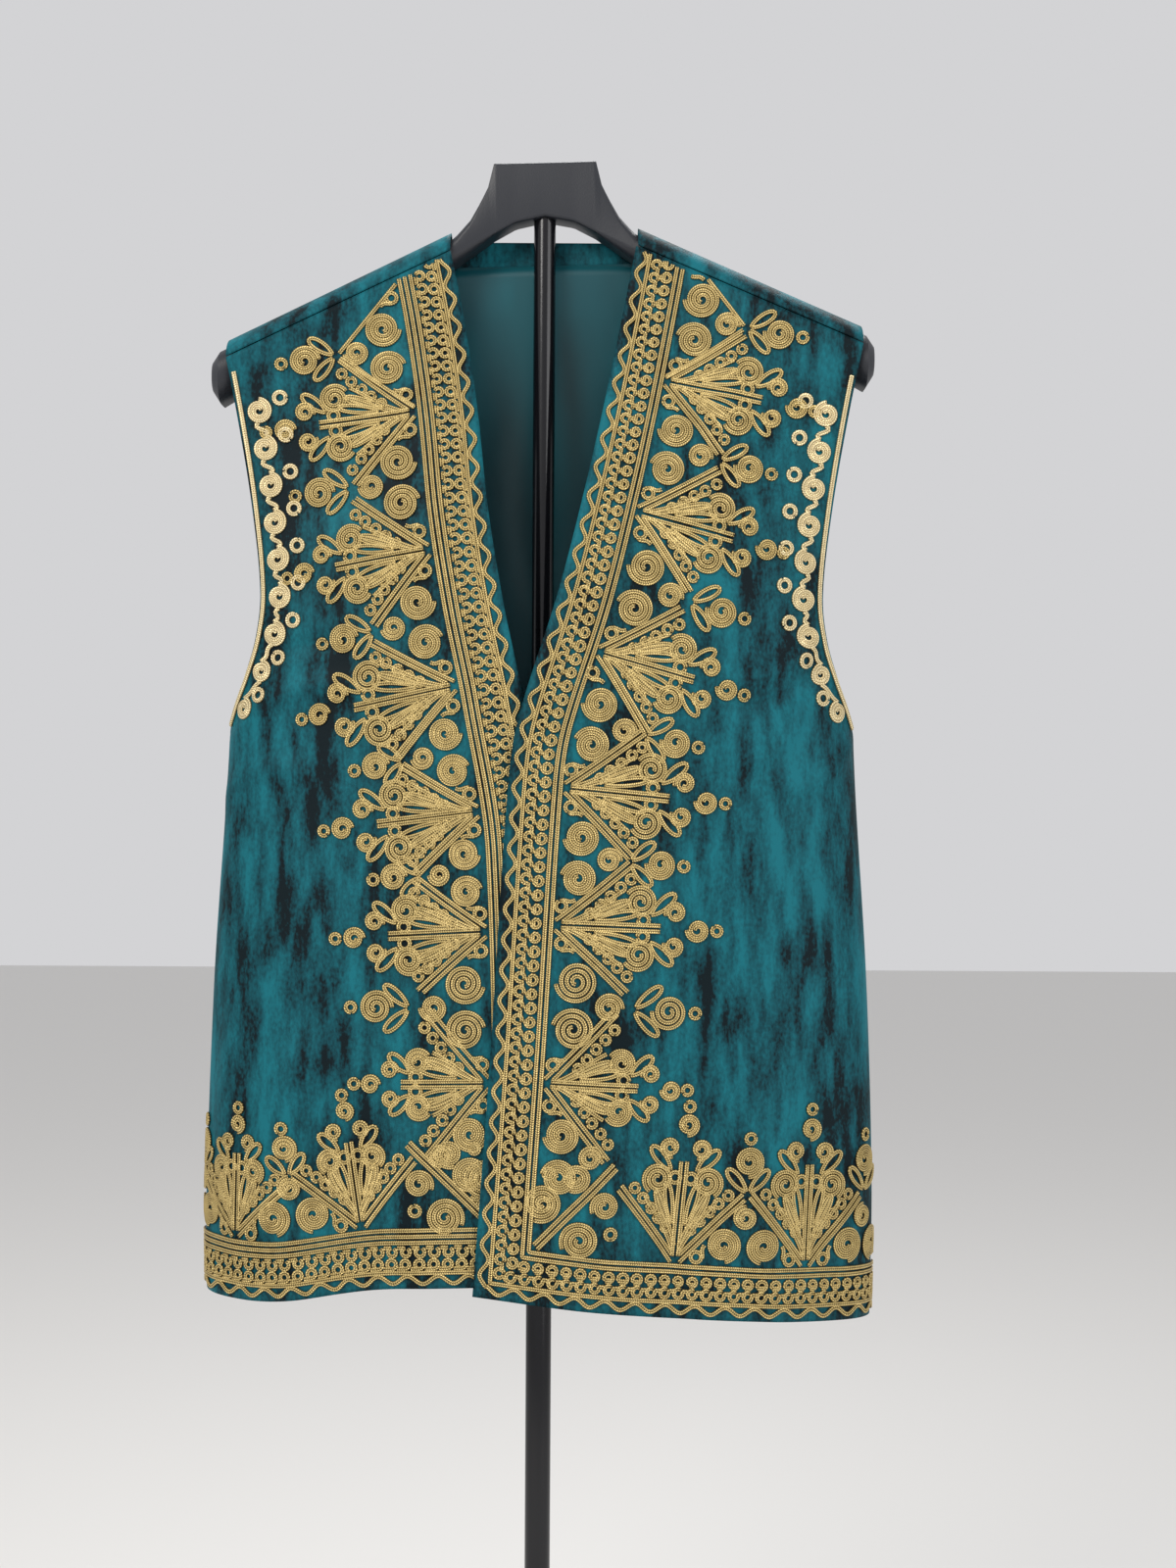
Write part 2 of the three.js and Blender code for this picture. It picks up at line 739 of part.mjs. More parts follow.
function hangerHead() {
  const half = HEAD_SECTIONS.slice(1);
  const mirrored = half.map((row) => ({ ...row, x: -row.x })).reverse();
  const rings = [...mirrored, ...HEAD_SECTIONS].map(headSection);
  const count = rings[0].length;
  const vertices = rings.flat(2);
  const faces = [];
  for (let r = 0; r < rings.length - 1; r++) {
    for (let i = 0; i < count; i++) {
      const [a, b] = [r * count + i, r * count + ((i + 1) % count)];
      faces.push(a, b, b + count, a, b + count, a + count);
    }
  }
  const lastRing = (rings.length - 1) * count;
  for (let i = 1; i < count - 1; i++) {
    faces.push(0, i + 1, i);
    faces.push(lastRing, lastRing + i, lastRing + i + 1);
  }
  const boreStart = 1200; // anywhere below the head's underside
  const height = UPPER_TUBE.top + GAP - boreStart;
  const bore = new THREE.CylinderGeometry(HEAD_BORE, HEAD_BORE, height, ROUND_SIDES);
  bore.rotateX(Math.PI / 2).translate(0, 0, boreStart + height / 2);
  return geometryOf(solidOf(closedGeometry(vertices, faces)).subtract(solidOf(bore)));
}

// ---------------------------------------------------------------- assembly

function addPiece(group, name, geometry, material) {
  const mesh = new THREE.Mesh(geometry, material);
  mesh.name = name;
  group.add(mesh);
}

function buildStand() {
  const stand = new THREE.Group();
  addPiece(stand, "base_plate", basePlate(), finishes.tube);
  addPiece(stand, "base_socket", baseSocket(), finishes.tube);
  addPiece(stand, "lower_tube", lowerTube(), finishes.tube);
  addPiece(stand, "lock_collar", lockCollar(), finishes.moulding);
  addPiece(stand, "upper_tube", upperTube(), finishes.tube);
  addPiece(stand, "hanger_head", hangerHead(), finishes.moulding);
  return stand;
}

function buildFront(vest, name, palmettes) {
  const front = fronts[name];
  const grid = frontGrid(front);
  addPiece(vest, `front_${name}`, wall(grid, 0, -FRONT_WALL), finishes.velvet);
  const layer = solidOf(wall(grid, GAP + BRAID_THICK, GAP));
  for (const figure of braidFigures(name, front, palmettes)) {
    const solid = layer.intersect(prism(front, figure.outline));
    addPiece(vest, figure.name, geometryOf(solid), finishes.braid);
  }
}

function buildBack(vest) {
  const grid = backGrid();
  addPiece(vest, "back", wall(grid, 0, -BACK_WALL, backHas), finishes.velvet);
  const outer = -BACK_WALL - GAP;
  const liningRows = grid.slice(0, ROWS_BELOW + ROWS_ABOVE + 1);
  const share = LINING_SHORT / (grid[1][0].point.z - grid[0][0].point.z);
  const hemmed = liningRows[0].map(({ point, normal }, i) => ({
    point: point.clone().lerp(liningRows[1][i].point, share),
    normal,
  }));
  const lining = wall([hemmed, ...liningRows.slice(1)], outer, outer - LINING_WALL);
  addPiece(vest, "lining_back", lining, finishes.satin);
}

function buildVest() {
  const vest = new THREE.Group();
  buildFront(vest, "left", LEFT_PALMETTES);
  buildFront(vest, "right", RIGHT_PALMETTES);
  buildBack(vest);
  return vest;
}

const part = new THREE.Group();
part.add(buildStand(), buildVest());
export default part;
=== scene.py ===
import math
import random

import bpy
import numpy as np
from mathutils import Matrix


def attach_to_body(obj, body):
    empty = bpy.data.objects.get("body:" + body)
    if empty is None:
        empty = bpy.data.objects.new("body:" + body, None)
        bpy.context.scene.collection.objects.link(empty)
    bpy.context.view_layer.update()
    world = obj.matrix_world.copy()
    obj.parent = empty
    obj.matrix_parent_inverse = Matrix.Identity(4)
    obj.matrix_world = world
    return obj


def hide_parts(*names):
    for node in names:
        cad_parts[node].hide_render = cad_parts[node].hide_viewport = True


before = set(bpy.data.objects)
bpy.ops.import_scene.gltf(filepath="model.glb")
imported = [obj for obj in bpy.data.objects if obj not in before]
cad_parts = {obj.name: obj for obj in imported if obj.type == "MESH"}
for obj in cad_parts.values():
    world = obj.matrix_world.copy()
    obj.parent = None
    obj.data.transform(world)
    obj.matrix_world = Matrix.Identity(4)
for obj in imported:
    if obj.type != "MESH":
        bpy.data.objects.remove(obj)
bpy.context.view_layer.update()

MM = 0.001
FRONT, BACK, LEFT, RIGHT = -1, 1, 1, -1
rng = random.Random(7)

# ---------------------------------------------------------------- driving sizes, as in the CAD

# x, top, bottom, half depth, forward, corner radius
HEAD_SECTIONS = [
    (0, 1320, 1283, 11, 0, 2), (20, 1320, 1279, 11, 0, 2), (35, 1320, 1271, 11.3, 0, 2),
    (39, 1304, 1268, 11.6, 0, 3), (44, 1294, 1264.5, 12, 0, 4), (51, 1282, 1259, 12.4, 0.3, 6),
    (62, 1270, 1251, 13, 1, 8), (110, 1246.3, 1222.5, 16, 5, 11), (170, 1216.6, 1187, 20, 11, 14),
    (219, 1192.4, 1157, 22.7, 16.6, 16), (224, 1185, 1165, 17, 16, 9),
]
HEAD_TILT = 0.0306
# z, half width, depth to the front, depth to the back
RINGS = np.array([
    (530, 228, 73, 60), (620, 229, 72, 60), (760, 224.5, 70, 59),
    (930, 214.5, 68, 58), (1060, 215, 66, 56), (1290, 230, 60, 50),
], float)
RING_POWER = 2.4
NECK_X = 64
RIDGE_Z, RIDGE_SLOPE, RIDGE_CAP, RIDGE_CLEAR = 1274.6, 0.494, 16, 4.5
SHOULDER_FROM, SHOULDER_TO = 62, 219
SHOULDER_HALF_DEPTH, SHOULDER_FORWARD = (13, 22.7), (1, 16.6)
SHOULDER_HANG = 230
SEAM_DROP, SEAM_GAP = 15, 0.9
# Edges of the panels: z and s for the two front edges, z and x for the armhole, s and z for hems
LAP_EDGE = [
    (540, -43), (709, -31.5), (893, -20.5), (935, -14.5),
    (1020, 11.5), (1082, 27), (1147, 41), (1262, 63),
]
UNDER_EDGE = [
    (540, 13), (850, 5), (951, -11.5), (1015, -25),
    (1077, -35.5), (1144, -43.5), (1209, -54), (1262, -65),
]
ARMHOLE = [
    (925, 214.6), (945, 208.5), (965, 201), (990, 193),
    (1020, 189.5), (1075, 195), (1140, 205.5), (1200, 217),
]
UNDERARM_Z = 925
HEM = [(-260, 548), (-181, 547), (-106, 559), (-43, 561.5)]
LAP_HEM = [(-43, 557), (43, 546), (130, 539), (260, 531)]
BACK_HEM = [(-260, 548), (0, 544), (260, 531)]
BACK_NECK_Z = 1271
FRONT_WALL, BACK_WALL, LINING_WALL = 2.0, 1.5, 1.0
LINING_SHORT = 14
LAP_LIFT = 4.6
BELOW_SHARE = 9 / 17  # share of a panel's rows that lie below the underarm
NECK_SHARE = 0.283

# z and length of each palmette up the front edges, and s of the figures on the hem
PALMETTES = {
    "left": [(1165, 108), (1074, 108), (981, 104), (891, 112), (801, 110), (697, 99)],
    "right": [(1142, 106), (1048, 103), (958, 110), (875, 110), (796, 104), (696, 92)],
}
HEM_PALMETTES = {"left": [91, 180], "right": [-116, -207]}
HEM_PALMETTE_LENGTH = {"left": 107, "right": 90}
HEM_BUDS = {"left": [136, 226], "right": [-161, -250]}
BAND_WIDTH = {"left": 36, "right": 41}

BRAID_WIDTH, BRAID_HEIGHT, BRAID_STEP = 3.1, 1.6, 1.6
ARMHOLE_BRAID_WIDTH = 3.2
PIECE_GAP = 0.3


# ---------------------------------------------------------------- tables and the cloth's surface

def read(rows, place, column=1):
    """Smooth curve through a table's rows."""
    rows = np.asarray(rows, float)
    k, v = rows[:, 0], rows[:, column]
    last = len(k) - 1
    before = np.maximum(np.arange(last + 1) - 1, 0)
    after = np.minimum(np.arange(last + 1) + 1, last)
    slope = (v[after] - v[before]) / (k[after] - k[before])
    p = np.clip(place, k[0], k[-1])
    i = np.clip(np.searchsorted(k, p, side="right") - 1, 0, last - 1)
    step = k[i + 1] - k[i]
    u = (p - k[i]) / step
    rise = u * u * (3 - 2 * u)
    return (v[i] * (1 - rise) + v[i + 1] * rise
            + step * slope[i] * u * (1 - u) ** 2 - step * slope[i + 1] * u * u * (1 - u))


def smooth(t):
    t = np.clip(t, 0, 1)
    return t * t * (3 - 2 * t)


def lerp(a, b, t):
    return a + (b - a) * t


def ridge_height(x):
    return RIDGE_Z - RIDGE_SLOPE * np.maximum(np.abs(x) - NECK_X, 0) + HEAD_TILT * x


def along_shoulder(x):
    return np.maximum(np.abs(x) - SHOULDER_FROM, 0) / (SHOULDER_TO - SHOULDER_FROM)


def shoulder_half_depth(x):
    return lerp(*SHOULDER_HALF_DEPTH, along_shoulder(x)) + RIDGE_CLEAR


def forward_sweep(x):
    return lerp(*SHOULDER_FORWARD, along_shoulder(x))


def depth_at(side, x, z):
    """Distance of the cloth's outer face from the plane of the stand."""
    width = read(RINGS, z, 1)
    depth = read(RINGS, z, 2 if side == FRONT else 3)
    across = np.minimum(np.abs(x) / width, 1)
    ring = depth * (1 - across ** RING_POWER) ** (1 / RING_POWER)
    below = np.maximum(ridge_height(x) - z, 0)
    cap = np.sqrt(1 - (1 - np.minimum(below / RIDGE_CAP, 1)) ** 2)
    shoulder = shoulder_half_depth(x) * cap - side * forward_sweep(x)
    return lerp(shoulder, ring, smooth(below / SHOULDER_HANG))


SECTION_Z = np.arange(500, 1306, 3.0)
SECTION_S = np.arange(0, 320, 1.0)


def level_sections(side, hand):
    """Tables over height: x by distance round, and the distance round of the panel's outer edge."""
    turn = np.sin(np.linspace(0, np.pi / 2, 161)) ** (2 / RING_POWER)
    x_rows, edge_rows = [], []
    for z in SECTION_Z:
        x = read(RINGS, z, 1) * turn
        y = depth_at(side, hand * x, z)
        s = np.concatenate([[0], np.cumsum(np.hypot(np.diff(x), np.diff(y)))])
        x_rows.append(np.interp(SECTION_S, s, x))
        armhole = np.interp(read(ARMHOLE, z), x, s)
        edge_rows.append(armhole if z >= UNDERARM_Z else s[-1] - PIECE_GAP / 2)
    return np.array(x_rows), np.array(edge_rows)


SECTIONS = {
    (side, hand): level_sections(side, hand) for side in (FRONT, BACK) for hand in (LEFT, RIGHT)
}


def outer_edge(side, hand, z):
    return np.interp(z, SECTION_Z, SECTIONS[side, hand][1])


def bilinear(table, row, column):
    row = np.clip(row, 0, table.shape[0] - 1.001)
    column = np.clip(column, 0, table.shape[1] - 1.001)
    j, i = row.astype(int), column.astype(int)
    v, u = row - j, column - i
    if table.ndim == 3:
        v, u = v[..., None], u[..., None]
    near = lerp(table[j, i], table[j, i + 1], u)
    far = lerp(table[j + 1, i], table[j + 1, i + 1], u)
    return lerp(near, far, v)


def lap_lift(s, z):
    """How far the lapping front stands off the one under it."""
    return LAP_LIFT * (1 - smooth((s - 20) / 80)) * (1 - smooth((z - 940) / 160))


def cloth_points(side, s, z, lapping=False):
    """Points of the outer face, without folds."""
    row = (z - SECTION_Z[0]) / (SECTION_Z[1] - SECTION_Z[0])
    x_left = bilinear(SECTIONS[side, LEFT][0], row, np.abs(s))
    x_right = bilinear(SECTIONS[side, RIGHT][0], row, np.abs(s))
    x = np.where(s < 0, -x_right, x_left)
    lift = lap_lift(s, z) if lapping else 0
    return np.stack([x, side * (depth_at(side, x, z) + lift), z + 0 * x], -1)


def normals_of(points, outward):
    """Unit normals of a grid of points, on the side that outward gives at each point."""
    down, across = np.gradient(points, axis=0), np.gradient(points, axis=1)
    normal = np.cross(across, down)
    size = np.linalg.norm(normal, axis=-1, keepdims=True)
    normal = np.where(size > 1e-6, normal / np.maximum(size, 1e-6), outward)
    return normal * np.where((normal * outward).sum(-1, keepdims=True) < 0, -1, 1)


# Folds of the cloth: start and end as (s, z), half width, and height over the cloth.
FOLDS_LEFT = [
    (108, 962, 205, 1006, 7, 2.6), (120, 945, 200, 975, 6, -2.0), (128, 902, 178, 950, 6, 2.2),
    (150, 890, 225, 925, 8, 2.0), (60, 1110, 150, 1190, 12, 1.4), (30, 700, 60, 560, 14, 1.8),
    (150, 720, 165, 545, 16, 2.6), (215, 760, 205, 545, 14, -1.6), (95, 640, 100, 545, 10, -1.2),
    (170, 1060, 205, 1000, 8, 1.6),
]
FOLDS_RIGHT = [
    (-105, 955, -215, 930, 8, 2.2), (-125, 985, -205, 962, 6, -1.8), (-150, 900, -235, 880, 9, 1.6),
    (-70, 1110, -150, 1190, 12, 1.2), (-60, 690, -75, 560, 14, 1.8), (-150, 740, -160, 548, 16, 2.4),
    (-215, 780, -210, 548, 14, -1.6), (-170, 1050, -200, 1000, 8, 1.4),
]
FOLDS_BACK = [
    (-60, 1200, -150, 980, 14, 1.8), (70, 1210, 140, 990, 14, 1.6), (-110, 860, -90, 548, 18, 2.4),
    (20, 820, 35, 545, 18, -1.8), (130, 880, 120, 540, 18, 2.2), (-200, 930, -120, 890, 9, 1.8),
    (205, 930, 130, 880, 9, 1.6), (-10, 1190, 0, 1000, 20, -1.4),
]


FOLD_BEND = 0.12  # a fold's bow, as a share of its length


def fold_height(folds, s, z):
    """Height of the folds over the smooth cloth, on top of a faint unevenness all over."""
    height = 0.35 * np.sin(s / 31 + z / 57) + 0.3 * np.sin(s / 17 - z / 83 + 1)
    for s0, z0, s1, z1, half, rise in folds:
        run = np.array([s1 - s0, z1 - z0], float)
        size = np.hypot(*run)
        along = ((s - s0) * run[0] + (z - z0) * run[1]) / size / size
        bend = FOLD_BEND * size * np.sin(np.pi * np.clip(along, 0, 1))
        off = ((s - s0) * run[1] - (z - z0) * run[0]) / size - bend
        ends = smooth(along * 4) * smooth((1.15 - along) * 4)
        height = height + rise * np.exp(-(off / half) ** 2) * ends
    return height


class Panel:
    """Lookup of a panel's outer face and its normals, folds included."""

    step, s0, z0 = 2.5, -300, 512

    def __init__(self, side, folds, lapping=False):
        across, up = np.arange(self.s0, 301, self.step), np.arange(self.z0, 1300, self.step)
        s, z = np.meshgrid(across, up)
        points = cloth_points(side, s, z, lapping)
        outward = np.stack([np.sign(s) * (np.abs(s) / 260) ** 3 * 1.5, side + 0 * s, 0 * s], -1)
        normal = normals_of(points, outward)
        edge = np.minimum(outer_edge(side, LEFT, z), outer_edge(side, RIGHT, z)) - np.abs(s)
        drop = ridge_height(points[..., 0]) - z
        calm = smooth(edge / 25) * smooth((drop - 10) / 60)  # no folds at the seams
        points = points + normal * (fold_height(folds, s, z) * calm)[..., None]
        self.points, self.normals = points, normals_of(points, outward)

    def at(self, s, z):
        row, column = (z - self.z0) / self.step, (s - self.s0) / self.step
        normal = bilinear(self.normals, row, column)
        return (bilinear(self.points, row, column),
                normal / np.maximum(np.linalg.norm(normal, axis=-1, keepdims=True), 1e-6))


FRONTS = {
    "left": dict(hand=LEFT, edge=LAP_EDGE, hem=LAP_HEM, panel=Panel(FRONT, FOLDS_LEFT, True)),
    "right": dict(hand=RIGHT, edge=UNDER_EDGE, hem=HEM, panel=Panel(FRONT, FOLDS_RIGHT)),
}
BACK_PANEL = Panel(BACK, FOLDS_BACK)


# ---------------------------------------------------------------- finishes

def material(name, color, roughness, metallic=0.0):
    made = bpy.data.materials.new(name)
    made.use_nodes = True
    shader = made.node_tree.nodes["Principled BSDF"]
    shader.inputs["Base Color"].default_value = (*color, 1)
    shader.inputs["Roughness"].default_value = roughness
    shader.inputs["Metallic"].default_value = metallic
    return made, made.node_tree, shader


def node(tree, kind, inputs=(), **settings):
    made = tree.nodes.new(kind)
    for key, value in settings.items():
        setattr(made, key, value)
    for key, value in dict(inputs).items():
        if isinstance(value, bpy.types.NodeSocket):
            tree.links.new(value, made.inputs[key])
        else:
            made.inputs[key].default_value = value
    return made


def noise(tree, scale, stretch=(1, 1, 1), detail=4.0):
    """Noise in metres of the piece's own rest place; scale is about features per metre."""
    place = node(tree, "ShaderNodeTexCoord").outputs["Object"]
    mapped = node(tree, "ShaderNodeMapping", {"Vector": place, "Scale": stretch}).outputs[0]
    inputs = {"Vector": mapped, "Scale": scale, "Detail": detail}
    return node(tree, "ShaderNodeTexNoise", inputs).outputs[0]


def maths(tree, operation, *values):
    return node(tree, "ShaderNodeMath", dict(enumerate(values)), operation=operation).outputs[0]


def ramp(tree, value, stops):
    made = node(tree, "ShaderNodeValToRGB", {"Fac": value})
    elements = made.color_ramp.elements
    for element, (position, color) in ((elements[0], stops[0]), (elements[1], stops[-1])):
        element.position, element.color = position, (*color, 1)
    for position, color in stops[1:-1]:
        elements.new(position).color = (*color, 1)
    return made.outputs[0]


def bump(tree, shader, value, strength, distance):
    made = node(tree, "ShaderNodeBump", {"Height": value, "Strength": strength, "Distance": distance})
    tree.links.new(made.outputs[0], shader.inputs["Normal"])


def velvet_material():
    made, tree, shader = material("Teal crushed velvet", (0.005, 0.1, 0.12), 0.62)
    streaks = noise(tree, 95, (1, 1, 0.24), 5)
    patches = noise(tree, 30, (1, 1, 0.35), 3)
    crush = maths(tree, "MULTIPLY", maths(tree, "ADD", streaks, patches), 0.42)
    pile = noise(tree, 520, (1, 1, 0.6), 2)
    height = maths(tree, "MULTIPLY_ADD", pile, 0.16, crush)
    dark, middle, light = (0.0004, 0.006, 0.009), (0.002, 0.05, 0.066), (0.005, 0.13, 0.165)
    color = ramp(tree, height, [(0.42, dark), (0.48, middle), (0.6, light)])
    tree.links.new(color, shader.inputs["Base Color"])
    shader.inputs["Specular IOR Level"].default_value = 0.15
    shader.inputs["Sheen Weight"].default_value = 0.1
    shader.inputs["Sheen Roughness"].default_value = 0.4
    shader.inputs["Sheen Tint"].default_value = (0.05, 0.45, 0.5, 1)
    bump(tree, shader, height, 0.35, 0.002)
    return made


def satin_material():
    made, tree, shader = material("Teal satin lining", (0.001, 0.08, 0.1), 0.36)
    weave = noise(tree, 900, (1, 1, 0.15), 2)
    creases_and_painted_shade = noise(tree, 14, (1, 1, 0.4), 3)
    height = maths(tree, "MULTIPLY_ADD", weave, 0.05, creases_and_painted_shade)
    # painted shade and painted sheen: the lining is darker in the crease hollows and lighter on their
    # ridges, on top of the real bump of the creases
    color = ramp(tree, creases_and_painted_shade, [(0.3, (0.001, 0.05, 0.065)), (0.7, (0.002, 0.1, 0.125))])
    tree.links.new(color, shader.inputs["Base Color"])
    bump(tree, shader, height, 0.3, 0.003)
    return made


PLAIT_PITCH = 1.5  # mm of braid to one crossing of its plait


def braid_material(name, dark, middle, light):
    """Gold braid: the plait is worked out from the length and the width along each stroke."""
    made, tree, shader = material(name, middle, 0.42, 0.55)
    uv = node(tree, "ShaderNodeUVMap", uv_map="Plait").outputs[0]
    length, across = node(tree, "ShaderNodeSeparateXYZ", {0: uv}).outputs[:2]
    off_middle = maths(tree, "ABSOLUTE", maths(tree, "SUBTRACT", across, 0.5))
    strand = maths(tree, "SINE", maths(tree, "MULTIPLY_ADD", off_middle, 9.0, length))
    # painted light: each cord is lighter along its crown and darker in the middle groove and at the
    # outer edges, a painted highlight and painted shade over the modelled cords
    painted_crown_light = maths(tree, "SINE", maths(tree, "MULTIPLY", off_middle, 2 * math.pi))
    tint = maths(tree, "MULTIPLY_ADD", noise(tree, 220), 0.3, -0.08)
    body = maths(tree, "MULTIPLY_ADD", painted_crown_light, 0.55, tint)
    # the strand wave bumps the plait's strands, which is real relief, and also darkens the hollows
    # between them with painted shade
    shade = maths(tree, "MULTIPLY_ADD", strand, 0.16, body)
    # the ramp's dark stop is the colour of the painted shade and its light stop that of the painted
    # highlight; the noise tint is random tone
    color = ramp(tree, shade, [(0.12, dark), (0.45, middle), (0.75, light)])
    tree.links.new(color, shader.inputs["Base Color"])
    bump(tree, shader, strand, 0.5, 0.0004)
    return made


def stand_material(name, color, roughness, metallic, grain, strength):
    made, tree, shader = material(name, color, roughness, metallic)
    marks = noise(tree, 12, (1, 1, 0.5), 4)
    worn = node(tree, "ShaderNodeMapRange", {0: marks, 3: roughness * 0.85, 4: roughness * 1.2})
    tree.links.new(worn.outputs[0], shader.inputs["Roughness"])
    bump(tree, shader, noise(tree, grain), strength, 0.0004)
    return made


VELVET = velvet_material()
SATIN = satin_material()
# dark and light braid colours are the painted shade and painted highlight of the cords and plait
GOLD = braid_material("Gold braid", (0.05, 0.032, 0.01), (0.4, 0.29, 0.1), (0.8, 0.62, 0.27))
PALE_GOLD = braid_material(
    "Pale gold braid", (0.36, 0.27, 0.13), (0.68, 0.55, 0.3), (0.9, 0.78, 0.5)
)
GLOSS_BLACK = stand_material("Gloss black steel", (0.006, 0.006, 0.008), 0.16, 0.2, 500, 0.05)
MATT_BLACK = stand_material("Black moulding", (0.012, 0.014, 0.02), 0.42, 0.0, 900, 0.25)


# ---------------------------------------------------------------- meshes

def add_mesh(name, vertices, faces, materials, face_materials=None, uvs=None):
    mesh = bpy.data.meshes.new(name)
    mesh.from_pydata((np.asarray(vertices, float) * MM).tolist(), [], faces)
    for made in materials:
        mesh.materials.append(made)
    if face_materials is not None:
        mesh.polygons.foreach_set("material_index", np.asarray(face_materials, np.int32))
    if uvs is not None:
        layer = mesh.uv_layers.new(name="Plait")
        index = np.empty(len(mesh.loops), np.int32)
        mesh.loops.foreach_get("vertex_index", index)
        layer.data.foreach_set("uv", np.asarray(uvs, np.float32)[index].ravel())
    mesh.shade_smooth()
    made = bpy.data.objects.new(name, mesh)
    bpy.context.scene.collection.objects.link(made)
    return made


def shell(name, points, normals, outer, inner, materials, present=None):
    """Closed wall over the present cells of a grid; its second material is the inner face's."""
    rows, columns = points.shape[:2]
    middle = (outer + inner) / 2
    layers = [points + normals * offset for offset in (outer, middle, inner)]
    vertices = np.concatenate([layer.reshape(-1, 3) for layer in layers])
    has = np.ones((rows - 1, columns - 1), bool) if present is None else present
    faces, kinds = [], []
    under = rows * columns

    def filled(j, i):
        return 0 <= j < rows - 1 and 0 <= i < columns - 1 and has[j, i]

    for j in range(rows - 1):
        for i in range(columns - 1):
            if not has[j, i]:
                continue
            a, d = j * columns + i, (j + 1) * columns + i
            b, c = a + 1, d + 1
            back = 2 * under
            faces += [(a, b, c, d), (a + back, d + back, c + back, b + back)]
            kinds += [0, 1]
            neighbours = ((a, b, j - 1, i), (b, c, j, i + 1), (c, d, j + 1, i), (d, a, j, i - 1))
            for p, q, next_row, next_column in neighbours:
                if not filled(next_row, next_column):
                    faces.append((p, p + under, q + under, q))
                    faces.append((p + under, p + back, q + back, q + under))
                    kinds += [0, 0]
    used = np.unique([v for face in faces for v in face])
    renumber = np.full(len(vertices), -1)
    renumber[used] = np.arange(len(used))
    faces = [tuple(int(renumber[v]) for v in face) for face in faces]
    vertices = vertices[used]
    a, b, c, d = (vertices[[face[corner] for face in faces]] for corner in range(4))
    if (a * (np.cross(b, c) + np.cross(c, d))).sum() < 0:
        faces = [face[::-1] for face in faces]
    return add_mesh(name, vertices, faces, materials, kinds)


def loft(ids):
    """Faces between the rings of a swept shape, and its two ends."""
    following = np.roll(ids, -1, axis=1)
    quads = np.stack([ids[:-1], following[:-1], following[1:], ids[1:]], -1)
    return quads.reshape(-1, 4).tolist() + [ids[0][::-1].tolist(), ids[-1].tolist()]


def settle(height_of, distance_of, shape):
    """(s, z) places whose height depends on the distance round and the other way about."""
    z = np.full(shape, float(UNDERARM_Z))
    for _ in range(30):
        z = (z + height_of(distance_of(z), z)) / 2
    return distance_of(z), z


def row_height(v, low, high):
    return np.where(v <= BELOW_SHARE, lerp(low, UNDERARM_Z, v / BELOW_SHARE),
                    lerp(UNDERARM_Z, high, (v - BELOW_SHARE) / (1 - BELOW_SHARE)))


def front_places(front, columns=64, rows=190):
    hand = front["hand"]
    t = np.linspace(0, 1, columns)
    share, v = np.meshgrid(t + 0.1 * np.sin(np.pi * t), np.linspace(0, 1, rows))

    def height(s, z):
        top = ridge_height(cloth_points(FRONT, s, z)[..., 0]) - SEAM_DROP - SEAM_GAP
        return row_height(v, read(front["hem"], s), top)

    def distance(z):
        return lerp(read(front["edge"], z), hand * outer_edge(FRONT, hand, z), share)

    return settle(height, distance, share.shape)


def build_front(name):
    front = FRONTS[name]
    s, z = front_places(front)
    points, normals = front["panel"].at(s, z)
    return shell(f"Front_{name}", points, normals, 0, -FRONT_WALL, [VELVET, SATIN])


CAP_ROWS = 26


def back_grid(columns_half=58, rows=190):
    """The back's points and normals, over both shoulders, which cells it has, and its places."""
    u = np.linspace(0, 1, columns_half)
    u[np.argmin(np.abs(u - NECK_SHARE))] = NECK_SHARE
    shares = np.concatenate([-u[:0:-1], u])
    share, v = np.meshgrid(shares, np.linspace(0, 1, rows))

    def height(s, z):
        top = ridge_height(cloth_points(BACK, s, z)[..., 0]) - RIDGE_CAP
        return row_height(v, read(BACK_HEM, s), top)

    def distance(z):
        edge = np.where(share < 0, outer_edge(BACK, RIGHT, z), outer_edge(BACK, LEFT, z))
        return share * edge

    places = settle(height, distance, share.shape)
    points, normals = BACK_PANEL.at(*places)
    base_x, base_z = points[-1, :, 0], points[-1, :, 2]
    last_turn = 180 - math.degrees(math.asin(1 - SEAM_DROP / RIDGE_CAP))
    neck_turn = 51  # how far over the ridge the cap comes level with the neckline, in degrees
    in_neck = np.abs(shares) < NECK_SHARE - 0.001
    neck_row = int(CAP_ROWS * neck_turn / last_turn)
    cap_points, cap_normals = [], []
    for row in range(1, CAP_ROWS + 1):
        angle = math.radians(last_turn * row / CAP_ROWS)
        y = shoulder_half_depth(base_x) * math.cos(angle) - forward_sweep(base_x)
        z = ridge_height(base_x) - RIDGE_CAP * (1 - math.sin(angle))
        over = np.stack([base_x, y, z], -1)
        neck_z = lerp(base_z, BACK_NECK_Z, min(row / neck_row, 1))
        flat = np.stack([base_x, shoulder_half_depth(base_x), neck_z], -1)
        up = [0.0, math.cos(angle), math.sin(angle)]
        cap_points.append(np.where(in_neck[:, None], flat, over))
        cap_normals.append(np.where(in_neck[:, None], [0.0, 1.0, 0.0], up))
    present = np.ones((rows - 1 + CAP_ROWS, len(shares) - 1), bool)
    middle = (shares[1:] + shares[:-1]) / 2
    present[rows - 1 + neck_row:, np.abs(middle) < NECK_SHARE] = False
    points, normals = np.concatenate([points, cap_points]), np.concatenate([normals, cap_normals])
    return points, normals, present, places


